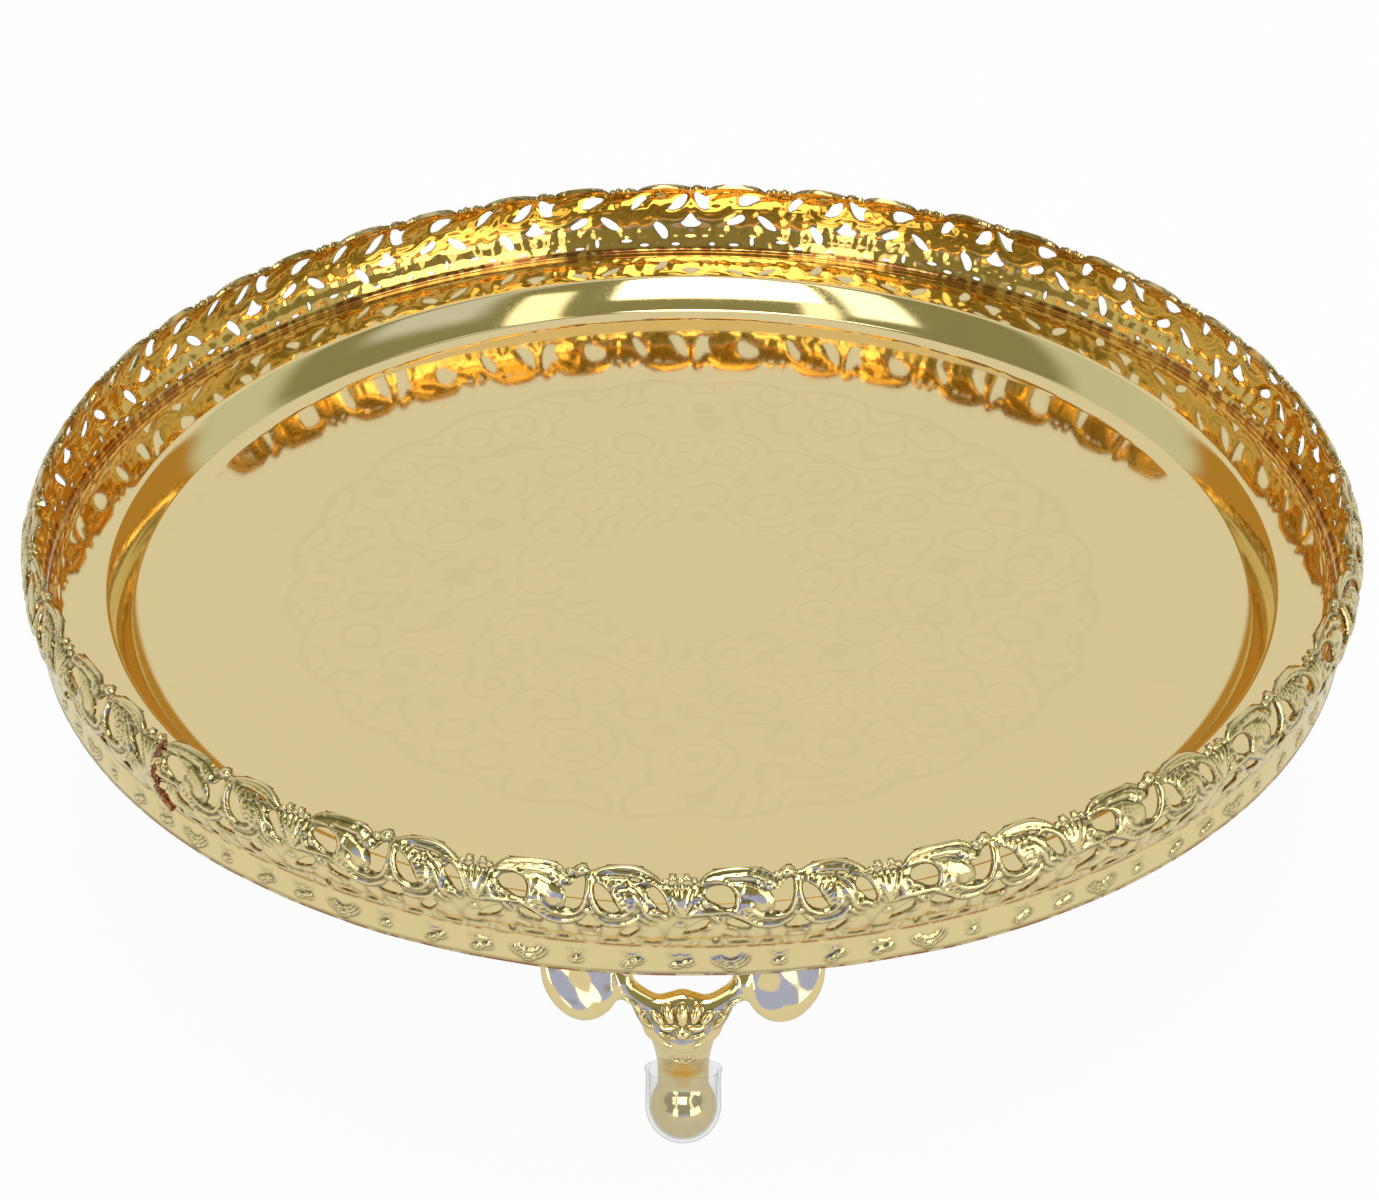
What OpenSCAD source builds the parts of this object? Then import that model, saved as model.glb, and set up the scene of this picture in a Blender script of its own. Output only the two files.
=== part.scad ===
/* [Tray] */
// Radius of the flat flange's outer edge, where it meets the gallery
flange_r = 156.9; // [140:0.5:175]
// Width of the flat flange, from its outer edge to the roll of the well
flange_w = 13.9; // [12:0.5:20]
// Depth of the well below the flange
well_depth = 8.8; // [6:0.2:12]
// Thickness of the pressed sheet
sheet_t = 1.2; // [0.8:0.1:1.6]
// Height of the flange's top above the table
deck_h = 62.8; // [61.8:0.2:63.8]

/* [Gallery] */
// Height of the gallery above the flange
gallery_h = 21.1; // [19:0.1:24]
// How far the gallery bellies out past its foot
gallery_bulge = 4.7; // [3:0.1:6]
// Height of the skirt below the flange
skirt_h = 7.25; // [6:0.05:9]
// Thickness of the stamped strip
strip_t = 0.9; // [0.7:0.1:1.2]
// Number of times that the pierced motif repeats round the ring
repeats = 23; // [21:1:24]
// Angle of the strip's soldered seam, from the front foot
seam_deg = -46; // [-60:1:-40]

/* [Feet] */
// Distance of each ball toe from the tray's centre
toe_r = 145; // [143:0.5:147]
// Mean radius of the foot's wings, under the middle of the flange
wing_r = 149; // [148:0.5:150]
// Thickness of the wings
wing_t = 2.4; // [2:0.1:3]
// Radius of the ball toe
ball_r = 7.3; // [6.5:0.1:7.6]

/* [Protector caps] */
// Wall of the clear protector cap
cap_wall = 0.8; // [0.6:0.1:1]
// Height of the protector cap
cap_h = 19.4; // [17:0.2:20]
// Gap between a ball toe and its cap
cap_gap = 0.3; // [0.3:0.05:0.4]

/* [Hidden] */
$fn = 72;

gold = [0.93, 0.78, 0.45];
solder_grey = [0.62, 0.50, 0.38];
clear_plastic = [0.86, 0.88, 0.90, 0.45];

// the three feet stand a third of a turn apart, the first at the front
foot_turn = [0, 120, 240];

// tray section
flange_in_r = flange_r - flange_w;
roll_r = 1.5;
cove_r = 6;
wall_deg = 62;
wall_rise = well_depth - (roll_r + cove_r) * (1 - cos(wall_deg));
floor_r = flange_in_r - (roll_r + cove_r) * sin(wall_deg) - wall_rise / tan(wall_deg);
under_z = deck_h - sheet_t;
floor_z = deck_h - well_depth;

// gallery section
crease_r = flange_r + strip_t;
crest_z = deck_h + gallery_h;
belly_arc_r = (pow(gallery_h / 2, 2) + pow(gallery_bulge, 2)) / (2 * gallery_bulge);
belly_arc_c = crease_r + gallery_bulge - belly_arc_r;
belly_half_deg = asin(gallery_h / 2 / belly_arc_r);
skirt_r = crease_r + 0.8;
skirt_bulge = 1.3;
period_deg = 360 / repeats;
crest_bead_r = 0.75;
hem_bead_r = 0.6;

// foot, as heights above the table
ball_z = cap_wall + 0.1 + cap_gap + ball_r;
ankle_z = 17;
ankle_half_w = 5.3;
shoulder_z = 41;
shoulder_half_w = 10.7;
lobe_x = 22.7;
lobe_r = 9.8;
lobe_z = 46.2;
bridge_low_z = 42.5;
bridge_top_z = 46.4;
wing_inner_x = 12;
wing_outer_x = 33.5;

// points along an arc about c, from angle a0 to a1
function arc_points(c, r, a0, a1, n) =
    [for (i = [0:n]) let (a = a0 + (a1 - a0) * i / n) [c[0] + r * cos(a), c[1] + r * sin(a)]];

function reversed(v) = [for (i = [len(v) - 1:-1:0]) v[i]];

// ---- tray: floor, cove, steep wall, roll and flat flange in one pressing ----
module tray() {
    cove_c = [floor_r, floor_z + cove_r];
    roll_c = [flange_in_r, deck_h - roll_r];
    top = concat(
        [[0, floor_z]],
        arc_points(cove_c, cove_r, -90, wall_deg - 90, 8),
        arc_points(roll_c, roll_r, 90 + wall_deg, 90, 6),
        [[flange_r - 0.3, deck_h], [flange_r, deck_h - 0.3]]);
    under = concat(
        [[0, floor_z - sheet_t]],
        arc_points(cove_c, cove_r + sheet_t, -90, wall_deg - 90, 8),
        arc_points(roll_c, roll_r - sheet_t, 90 + wall_deg, 90, 3),
        [[flange_r, under_z]]);
    color(gold)
        rotate_extrude() polygon(concat(top, reversed(under)));
}

// ---- gallery: bellied upper band and skirt, as one bent strip ----
function belly_points(n) =
    arc_points([belly_arc_c, deck_h + gallery_h / 2], belly_arc_r, -belly_half_deg, belly_half_deg, n);

function skirt_points(n) =
    [for (i = [n:-1:1]) let (u = i / n)
        [crease_r + (skirt_r - crease_r) * u + skirt_bulge * sin(180 * u), deck_h - skirt_h * u]];

module strip_section() {
    outer = concat(skirt_points(3), belly_points(6));
    polygon(concat(outer, reversed([for (p = outer) [p[0] - strip_t, p[1]]])));
    translate([crease_r - strip_t / 2, crest_z - crest_bead_r / 2])
        circle(r = crest_bead_r);
    translate([skirt_r - strip_t / 2, deck_h - skirt_h])
        circle(r = hem_bead_r);
}

// a cutter at an angle round the ring and a height above the flange
module at_ring(deg, up) {
    rotate([0, 0, deg])
        translate([0, -crease_r, deck_h + up])
            rotate([90, 0, 0])
                translate([0, 0, -4])
                    children();
}

module slot_cutter(w, h, tilt) {
    rotate([0, 0, tilt]) {
        for (side = [-1, 1])
            translate([0, side * (h - w) / 2, 0])
                cylinder(d = w, h = 12);
        translate([-w / 2, -(h - w) / 2, 0])
            cube([w, h - w, 12]);
    }
}

// the eight piercings of one motif: share of the period, height, width, length, tilt
piercings = [[0.185, 14.7, 5.4, 5.9, 0], [0.48, 14.7, 3.0, 7.2, -14],
             [0.665, 13.9, 3.0, 6.2, 12], [0.895, 13.7, 2.8, 5.6, 22],
             [0.12, 6.6, 3.4, 5.8, -20], [0.275, 7.6, 3.6, 5.6, 60],
             [0.54, 7.9, 4.4, 5.6, 90], [0.77, 5.4, 2.8, 4.8, 70]];

module gallery() {
    color(gold)
        difference() {
            rotate_extrude() strip_section();
            for (i = [0:repeats - 1], p = piercings)
                at_ring((i + p[0]) * period_deg, p[1])
                    slot_cutter(p[2], p[3], p[4]);
            for (i = [0:repeats - 1])
                at_ring(i * period_deg, gallery_h + 2.4)
                    cylinder(r = 3.8, h = 12);
        }
}

// ---- the bead of solder that closes the strip's butt seam ----
module gallery_seam() {
    bead_deg = 0.45;
    face = [for (p = belly_points(6)) if (p[1] > deck_h + 1 && p[1] < crest_z - 1) p];
    color(solder_grey)
        rotate([0, 0, seam_deg - 90 - bead_deg / 2])
            rotate_extrude(angle = bead_deg)
                polygon(concat(face, reversed([for (p = face) [p[0] + 0.4, p[1]]])));
}

// ---- short runs of solder under the flange, in the gallery's crease ----
module rim_solder() {
    tacks = 12;
    run_deg = 9;
    leg = 1.6;
    color(solder_grey)
        for (i = [0:tacks - 1])
            rotate([0, 0, (i + 0.5) * 360 / tacks - run_deg / 2])
                rotate_extrude(angle = run_deg)
                    polygon([[flange_r, under_z], [flange_r - leg, under_z],
                             [flange_r - 0.35, under_z - leg], [flange_r, under_z - leg]]);
}

// ---- foot: two lobed wings, a bridge, a leg and a ball toe in one casting ----
function leg_half_w(z) =
    ankle_half_w + (shoulder_half_w - ankle_half_w) * pow(max(z - ankle_z, 0) / (shoulder_z - ankle_z), 1.6);

module wing_outline() {
    for (side = [-1, 1])
        scale([side, 1]) {
            translate([lobe_x, lobe_z])
                circle(r = lobe_r);
            polygon([[lobe_x - lobe_r, lobe_z], [lobe_x + lobe_r, lobe_z],
                     [wing_outer_x, under_z - 7], [wing_outer_x - 2, under_z],
                     [wing_inner_x + 3, under_z], [wing_inner_x, under_z - 7]]);
        }
    translate([-lobe_x + lobe_r / 2, bridge_low_z])
        square([2 * lobe_x - lobe_r, bridge_top_z - bridge_low_z]);
}

module leg_front() {
    heights = [for (i = [0:12]) 12 + (shoulder_z - 12) * i / 12];
    dome = [for (a = [15:15:165]) [0.8 * shoulder_half_w * cos(a), shoulder_z + 4.5 * sin(a)]];
    polygon(concat([for (z = heights) [leg_half_w(z), z]], dome,
                   [for (z = reversed(heights)) [-leg_half_w(z), z]]));
}

// the leg's section from the side: distance from the centre, and height
module leg_side() {
    outer = [[toe_r + 4, 12], [toe_r + 3.6, 20], [toe_r + 4.2, 28], [wing_r + 2, 35],
             [wing_r + 3.2, 40], [wing_r + 2.2, 46]];
    inner = [[wing_r - 1.6, 46], [wing_r - 2.4, 40], [toe_r - 1.6, 32], [toe_r - 3.4, 24],
             [toe_r - 3.8, 12]];
    polygon(concat(outer, inner));
}

module foot() {
    color(gold) {
        intersection() {
            translate([0, -wing_r - 10, 0])
                rotate([90, 0, 0])
                    mirror([0, 0, 1])
                        linear_extrude(20) wing_outline();
            difference() {
                cylinder(r = wing_r + wing_t / 2, h = under_z);
                translate([0, 0, -1])
                    cylinder(r = wing_r - wing_t / 2, h = under_z + 2);
            }
        }
        intersection() {
            translate([0, -wing_r - 10, 0])
                rotate([90, 0, 0])
                    mirror([0, 0, 1])
                        linear_extrude(20) leg_front();
            translate([-20, 0, 0])
                rotate([90, 0, 90])
                    mirror([1, 0, 0])
                        linear_extrude(40) leg_side();
        }
        translate([0, -toe_r, 0]) {
            translate([0, 0, ball_z])
                sphere(r = ball_r);
            translate([0, 0, ball_z])
                cylinder(r1 = ball_r * 0.9, r2 = ankle_half_w, h = ball_r);
        }
    }
}

// ---- solder fillets along both faces of each wing, under the flange ----
module foot_solder() {
    leg = 1.8;
    wing_deg = asin((wing_outer_x - 3) / wing_r);
    inner_deg = asin((wing_inner_x + 4) / wing_r);
    color(solder_grey)
        for (side = [-1, 1])
            rotate([0, 0, -90 + (side > 0 ? inner_deg : -wing_deg)])
                rotate_extrude(angle = wing_deg - inner_deg) {
                    polygon([[wing_r + wing_t / 2, under_z], [wing_r + wing_t / 2, under_z - leg],
                             [wing_r + wing_t / 2 + leg, under_z]]);
                    polygon([[wing_r - wing_t / 2, under_z], [wing_r - wing_t / 2, under_z - leg],
                             [wing_r - wing_t / 2 - leg, under_z]]);
                }
}

// ---- clear cup on a ball toe: flat base, round belly, straight wall, turned lip ----
module foot_cap() {
    inner_r = ball_r + cap_gap;
    outer_r = inner_r + cap_wall;
    flat_r = outer_r * 0.26;
    base_deg = 68;
    inside = concat(
        [[0, ball_z - inner_r]],
        arc_points([0, ball_z], inner_r, -80, 0, 8),
        [[inner_r, cap_h]]);
    outside = concat(
        [[0, 0], [flat_r, 0]],
        arc_points([0, ball_z], outer_r, -base_deg, 0, 8),
        [[outer_r - 0.1, cap_h - 3], [outer_r - 0.1, cap_h - 1.6],
         [outer_r + 0.35, cap_h - 0.6], [outer_r + 0.25, cap_h]]);
    color(clear_plastic)
        translate([0, -toe_r, 0])
            rotate_extrude() polygon(concat(outside, reversed(inside)));
}

module turned(i) {
    rotate([0, 0, foot_turn[i]]) children();
}

tray();
gallery();
gallery_seam();
rim_solder();
turned(0) foot();  // foot_front
turned(1) foot();  // foot_rear_right
turned(2) foot();  // foot_rear_left
turned(0) foot_solder();  // foot_front_solder
turned(1) foot_solder();  // foot_rear_right_solder
turned(2) foot_solder();  // foot_rear_left_solder
turned(0) foot_cap();  // foot_front_cap
turned(1) foot_cap();  // foot_rear_right_cap
turned(2) foot_cap();  // foot_rear_left_cap
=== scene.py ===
"""Gilt cake stand with a pierced gallery: the visual model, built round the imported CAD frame."""
import math

import bpy
import numpy as np
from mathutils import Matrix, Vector


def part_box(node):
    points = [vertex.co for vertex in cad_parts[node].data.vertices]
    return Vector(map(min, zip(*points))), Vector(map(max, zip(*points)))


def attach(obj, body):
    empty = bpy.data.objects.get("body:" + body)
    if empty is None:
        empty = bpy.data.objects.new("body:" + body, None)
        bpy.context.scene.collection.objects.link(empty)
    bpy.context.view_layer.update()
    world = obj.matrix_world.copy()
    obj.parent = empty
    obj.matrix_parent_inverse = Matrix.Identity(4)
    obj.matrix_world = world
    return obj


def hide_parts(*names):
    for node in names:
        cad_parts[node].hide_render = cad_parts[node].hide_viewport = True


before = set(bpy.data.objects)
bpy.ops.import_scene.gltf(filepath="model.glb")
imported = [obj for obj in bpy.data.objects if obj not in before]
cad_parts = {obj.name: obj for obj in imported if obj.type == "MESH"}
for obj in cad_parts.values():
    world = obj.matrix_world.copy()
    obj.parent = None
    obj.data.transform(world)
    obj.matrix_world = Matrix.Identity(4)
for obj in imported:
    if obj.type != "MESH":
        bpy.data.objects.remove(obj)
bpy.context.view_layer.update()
MM = 0.001

# ---- driving sizes in millimetres, read from the CAD frame where it has them ----
tray_low, tray_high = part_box("tray")
gallery_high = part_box("gallery")[1]
FLANGE_R = tray_high[0] / MM
DECK_Z = tray_high[2] / MM
SHEET_T = 1.2
FLOOR_Z = tray_low[2] / MM + SHEET_T
BELLY_R = gallery_high[0] / MM
REPEATS = 23
STRIP_T = 0.9
CREASE_R = FLANGE_R + STRIP_T
PERIOD = 44.1  # length of one motif along the belly
SEAM_DEG = -46


# ================= mesh helpers =================
def make_object(name, vertices, faces, material, body, replaces):
    """A mesh piece from points in millimetres and arrays of faces, one array for each face size."""
    mesh = bpy.data.meshes.new(name)
    points = np.asarray(vertices, dtype=np.float64) * MM
    loops = np.concatenate([np.asarray(f, dtype=np.int32).ravel() for f in faces])
    sizes = np.concatenate([np.full(len(f), np.shape(f)[1], dtype=np.int32) for f in faces])
    starts = np.concatenate([[0], np.cumsum(sizes)[:-1]]).astype(np.int32)
    mesh.vertices.add(len(points))
    mesh.vertices.foreach_set("co", points.astype(np.float32).ravel())
    mesh.loops.add(len(loops))
    mesh.loops.foreach_set("vertex_index", loops)
    mesh.polygons.add(len(sizes))
    mesh.polygons.foreach_set("loop_start", starts)
    mesh.polygons.foreach_set("use_smooth", np.ones(len(sizes), dtype=bool))
    mesh.update(calc_edges=True)
    mesh.validate()
    mesh.materials.append(material)
    piece = bpy.data.objects.new(name, mesh)
    bpy.context.scene.collection.objects.link(piece)
    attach(piece, body)
    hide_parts(*replaces)
    return piece


def point_attribute(piece, name, values):
    """A number on every vertex that the material reads."""
    layer = piece.data.attributes.new(name, "FLOAT", "POINT")
    layer.data.foreach_set("value", np.asarray(values, dtype=np.float32))


def smooth_curve(points, per_span=6):
    """A Catmull-Rom curve through the points."""
    p = np.asarray(points, dtype=float)
    p = np.vstack([2 * p[0] - p[1], p, 2 * p[-1] - p[-2]])
    u = np.linspace(0, 1, per_span, endpoint=False)[:, None]
    spans = []
    for a, b, c, d in zip(p[:-3], p[1:-2], p[2:-1], p[3:]):
        spans.append(0.5 * (2 * b + (c - a) * u + (2 * a - 5 * b + 4 * c - d) * u**2
                            + (3 * b - a - 3 * c + d) * u**3))
    return np.vstack(spans + [p[-2:-1]])


def closed_curve(points, per_span=6):
    """A closed Catmull-Rom outline through the points."""
    p = np.asarray(points, dtype=float)
    wrapped = np.vstack([p[-1:], p, p[:2]])
    return smooth_curve(wrapped, per_span)[per_span:-per_span]


def arc(centre, radius, start_deg, end_deg, steps=8):
    """Points along part of a circle."""
    a = np.radians(np.linspace(start_deg, end_deg, steps))
    return np.stack([centre[0] + radius * np.cos(a), centre[1] + radius * np.sin(a)], 1)


def lathe(profile, segments, closed=True):
    """Vertices and quads of a profile of (radius, height) turned round the Z axis."""
    turn = np.radians(np.arange(segments) * 360 / segments)
    r, z = np.asarray(profile, dtype=float).T
    x = r[:, None] * np.cos(turn)
    y = r[:, None] * np.sin(turn)
    vertices = np.stack([x, y, np.broadcast_to(z[:, None], x.shape)], -1).reshape(-1, 3)
    rows = len(r) if closed else len(r) - 1
    i, j = np.meshgrid(np.arange(rows), np.arange(segments), indexing="ij")
    a = i * segments + j
    b = i * segments + (j + 1) % segments
    c = (i + 1) % len(r) * segments + (j + 1) % segments
    d = (i + 1) % len(r) * segments + j
    return vertices, np.stack([a, b, c, d], -1).reshape(-1, 4)


# ================= relief drawn on a flat motif =================
class Relief:
    """A height map and a solid mask over one motif, in millimetres: s along, t up."""

    def __init__(self, s, t, period):
        self.s, self.t = np.meshgrid(s, t)
        self.period = period
        self.height = np.zeros_like(self.s)
        self.solid = np.full(self.s.shape, -9.0)

    def near(self, low_s, high_s, low_t, high_t):
        """The grid points in a box, with s unwrapped to lie in it."""
        if self.period:
            s = self.s + self.period * np.ceil((low_s - self.s) / self.period)
        else:
            s = self.s
        inside = (s >= low_s) & (s <= high_s) & (self.t >= low_t) & (self.t <= high_t)
        return inside, s[inside], self.t[inside]

    def stroke(self, points, width, height, ends=(0.3, 0.3), add=False, curve=True):
        """A ridge along a curve, with its full half width in the middle and shares of it at its ends.

        add lays it on top of what is there, and doesn't count it as metal.
        """
        line = smooth_curve(points) if curve and len(points) > 2 else np.asarray(points, dtype=float)
        low, high = line.min(0) - width, line.max(0) + width
        inside, s, t = self.near(low[0], high[0], low[1], high[1])
        best = np.full(len(s), 1e9)
        along = np.zeros(len(s))
        step = np.hypot(*np.diff(line, axis=0).T)
        total = step.sum()
        start = 0.0
        for (a, b), length in zip(zip(line[:-1], line[1:]), step):
            ab = b - a
            u = np.clip(((s - a[0]) * ab[0] + (t - a[1]) * ab[1]) / max(length**2, 1e-9), 0, 1)
            d = np.hypot(s - a[0] - u * ab[0], t - a[1] - u * ab[1])
            closer = d < best
            best = np.where(closer, d, best)
            along = np.where(closer, (start + u * length) / total, along)
            start += length
        swell = np.abs(np.sin(np.pi * along)) ** 0.7
        end = np.where(along < 0.5, ends[0], ends[1])
        half = width * (end + (1 - end) * swell)
        lift = height * np.sqrt(half / width) * np.sqrt(np.clip(1 - (best / half) ** 2, 0, 1))
        if add:
            self.height[inside] += lift
        else:
            self.raise_to(inside, lift, half - best)

    def raise_to(self, inside, lift, depth_inside):
        """Lifts the ground to a swelling, and counts the swelling as metal."""
        self.height[inside] = np.maximum(self.height[inside], lift)
        self.solid[inside] = np.maximum(self.solid[inside], depth_inside)

    def oval(self, centre, half_long, half_wide, tilt_deg):
        """The grid points round a tilted oval, and their places along and across it."""
        reach = max(half_long, half_wide)
        inside, s, t = self.near(centre[0] - reach, centre[0] + reach,
                                 centre[1] - reach, centre[1] + reach)
        c, q = math.cos(math.radians(tilt_deg)), math.sin(math.radians(tilt_deg))
        u = ((s - centre[0]) * c + (t - centre[1]) * q) / half_long
        v = ((t - centre[1]) * c - (s - centre[0]) * q) / half_wide
        return inside, u, v

    def bead(self, centre, radius, height):
        self.dome(centre, radius, radius, 0, height)

    def dome(self, centre, half_long, half_wide, tilt_deg, height):
        """A rounded oval swelling."""
        inside, u, v = self.oval(centre, half_long, half_wide, tilt_deg)
        d = np.hypot(u, v)
        lift = height * np.sqrt(np.clip(1 - d**2, 0, 1))
        self.raise_to(inside, lift, (1 - d) * min(half_long, half_wide))

    def hill(self, centre, half_long, half_wide, tilt_deg, height):
        """A soft swelling with no edge."""
        inside, u, v = self.oval(centre, half_long, half_wide, tilt_deg)
        self.height[inside] += height * np.clip(1 - u**2 - v**2, 0, 1) ** 2

    def leaf(self, rib, lobe, count, width, height, lean=0.7):
        """A serrated leaf: a midrib with short lobes that lean forward on both its sides."""
        line = smooth_curve(rib)
        places = np.linspace(0.04, 0.92, count) * (len(line) - 1)
        ahead = np.gradient(line, axis=0)
        ahead /= np.hypot(*ahead.T)[:, None]
        for place in places:
            i = int(place)
            share = np.sin(np.pi * (0.15 + 0.75 * place / len(line)))
            for side in (-1, 1):
                across = np.array([-ahead[i, 1], ahead[i, 0]]) * side
                tip = line[i] + lobe * share * (across + lean * ahead[i])
                mid = line[i] + 0.5 * lobe * share * (across + 0.4 * lean * ahead[i])
                self.stroke([line[i], mid, tip], width, height, ends=(0.5, 0.35))
        self.stroke(rib, 0.7 * width, height, ends=(0.5, 0.3))

    def volute(self, centre, radius, turns, start_deg, width, height, hand=1):
        """A spiral ridge that ends in a bead."""
        u = np.linspace(0, 1, int(14 * turns) + 4)
        a = np.radians(start_deg) + hand * 2 * np.pi * turns * u
        r = radius * (1 - 0.85 * u)
        self.stroke(np.stack([centre[0] + r * np.cos(a), centre[1] + r * np.sin(a)], 1),
                    width, height, ends=(0.5, 0.8), curve=False)
        self.bead(centre, width * 1.1, height)

    def fan(self, root, tips, width, height, ends=(0.25, 0.55)):
        """Straight leaves from one root to each tip."""
        for tip in tips:
            mid = ((root[0] + tip[0]) / 2, (root[1] + tip[1]) / 2)
            self.stroke([root, mid, tip], width, height, ends)

    def feathers(self, centre, radii, start_deg, end_deg, width, height):
        """Concentric arcs, like the ribs of a shell."""
        for r in radii:
            self.stroke(arc(centre, r, start_deg, end_deg), width, height, ends=(0.4, 0.2), add=True)


def outline_distance(outline, s, t):
    """Signed distance to a closed outline, positive outside it."""
    a = np.asarray(outline)
    b = np.roll(a, -1, axis=0)
    best = np.full(s.shape, 1e9)
    crossings = np.zeros(s.shape, dtype=int)
    for (ax, ay), (bx, by) in zip(a, b):
        ex, ey = bx - ax, by - ay
        u = np.clip(((s - ax) * ex + (t - ay) * ey) / max(ex * ex + ey * ey, 1e-9), 0, 1)
        best = np.minimum(best, np.hypot(s - ax - u * ex, t - ay - u * ey))
        spans = (ay > t) != (by > t)
        crossings += spans & (s < ex * (t - ay) / (ey if ey else 1e-9) + ax)
    return np.where(crossings % 2 == 1, -best, best)


def plate_faces(metal):
    """Faces of the ring's grid cells where metal >= 0, cut along its zero line.

    Returns the polygons by size, the cut points as (low vertex, high vertex, share), and
    the directed border edges. Cut points are numbered after the grid's own vertices.
    """
    rows, cols = metal.shape
    index = np.arange(rows * cols).reshape(rows, cols)
    value = metal.ravel()
    right = np.roll(index, -1, axis=1)
    a, b = index[:-1].ravel(), right[:-1].ravel()
    d, c = index[1:].ravel(), right[1:].ravel()
    corners = np.stack([a, b, c, d], 1)
    nexts = np.roll(corners, -1, axis=1)
    low, high = np.minimum(corners, nexts), np.maximum(corners, nexts)
    crosses = value[low] * value[high] < 0
    keys, inverse = np.unique(low[crosses].astype(np.int64) * value.size + high[crosses],
                              return_inverse=True)
    cut_low, cut_high = keys // value.size, keys % value.size
    share = value[cut_low] / (value[cut_low] - value[cut_high])
    edge_ids = np.full(corners.shape, -1, dtype=np.int64)
    edge_ids[crosses] = inverse + value.size
    slots = np.empty((len(corners), 8), dtype=np.int64)
    slots[:, 0::2] = np.where(value[corners] >= 0, corners, -1)
    slots[:, 1::2] = edge_ids
    present = slots >= 0
    count = present.sum(1)
    polygons = []
    for size in range(3, 9):
        rows_of = slots[count == size]
        if len(rows_of):
            polygons.append(rows_of[rows_of >= 0].reshape(-1, size))
    starts = np.concatenate([p.ravel() for p in polygons])
    ends = np.concatenate([np.roll(p, -1, axis=1).ravel() for p in polygons])
    base = value.size + len(keys)
    forward, backward = starts * base + ends, ends * base + starts
    border = ~np.isin(forward, backward)
    return polygons, (cut_low, cut_high, share), (starts[border], ends[border])


def plate(metal, place_front, place_back):
    """A closed plate: front and back sheets of the cut grid, joined by walls along its borders.

    place_front and place_back turn fields sampled on the vertices into points. Returns the
    vertices, the faces, the number of front vertices and the sampler of further fields.
    """
    polygons, (low, high, share), (starts, ends) = plate_faces(metal)

    def sample(field):
        flat = field.ravel()
        return np.concatenate([flat, flat[low] * (1 - share) + flat[high] * share])

    used = np.unique(np.concatenate([p.ravel() for p in polygons]))
    renumber = np.full(metal.size + len(low), -1, dtype=np.int64)
    renumber[used] = np.arange(len(used))
    front = [renumber[p] for p in polygons]
    n = len(used)
    back = [p[:, ::-1] + n for p in front]
    s, e = renumber[starts], renumber[ends]
    walls = np.stack([e, s, s + n, e + n], 1)
    vertices = np.vstack([place_front(sample)[used], place_back(sample)[used]])
    return vertices, front + back + [walls], n, lambda field: sample(field)[used]


def snap_to_border(s, t, metal, step_s, step_t):
    """Moves grid points that lie close to the border onto it, so that no sliver is cut."""
    slope_t, slope_s = np.gradient(metal, step_t, step_s)
    size = np.maximum(np.hypot(slope_s, slope_t), 0.3)
    distance = metal / size
    close = np.abs(distance) < 0.3 * min(step_s, step_t)
    s = np.where(close, s - distance * slope_s / size, s)
    t = np.where(close, t - distance * slope_t / size, t)
    return s, t, np.where(close, 0.0, metal)


# ================= the gallery's motif =================
def draw_crest(m):
    """Two scroll bands, the knot between them and the beads at the fan."""
    m.stroke([(3.7, 20.5), (6, 22.3), (10, 23.1), (14, 23.2), (17.3, 22.7), (19.4, 21.4)],
             0.75, 0.95)
    m.stroke([(4.2, 20.4), (8, 21.4), (13, 21.7), (17, 21.1), (19.2, 20.1)], 1.25, 0.6, (0.4, 0.3))
    for lift in (0.0, 0.55, 1.1):
        m.stroke([(7 + 3 * lift, 20.8 + lift), (12.6, 21.1 + lift), (17.4, 20.4 + lift)],
                 0.22, 0.2, add=True)
    m.stroke([(24.4, 21.2), (27, 22.5), (31, 23.2), (34.5, 23), (37.8, 21.6), (40, 20)], 1.0, 0.92,
             (0.35, 0.3))
    m.stroke([(26.3, 21), (28, 21.7), (32, 22), (36, 21.2), (39.6, 19.6)], 0.7, 0.6)
    m.stroke([(25, 20.2), (26.4, 21.6), (28, 22)], 0.4, 0.8)
    m.dome((22.6, 22.3), 1.75, 1.35, 15, 0.92)
    m.dome((20.3, 21.7), 1.1, 0.9, -20, 0.8)
    m.dome((24.9, 21.8), 0.8, 0.7, 0, 0.75)
    for s, t, r in ((40.6, 20.7, 0.85), (42.1, 21.5, 0.95), (43.7, 20.8, 0.8), (45.1, 21.5, 0.95),
                    (46.7, 20.8, 0.85)):
        m.bead((s, t), r, 0.9)


def draw_fan(m):
    """The leaves that spread from a point to the beads."""
    m.fan((44.2, 12.5), ((41.2, 19.4), (42.7, 19.8), (44.2, 19.8), (45.6, 19.6)), 0.5, 0.75, (0.35, 0.9))
    m.stroke([(43.8, 12.1), (42, 14.6), (41, 17.4), (39.9, 20.2)], 0.45, 0.75)
    m.stroke([(44.4, 12.2), (45.4, 14.4), (46.4, 17), (47.2, 19.8)], 0.4, 0.7)
    for s in (41.3, 42.8, 44.3, 45.8):
        m.stroke([(s, 19.9), (s, 18.9)], 0.3, 0.25)


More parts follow.
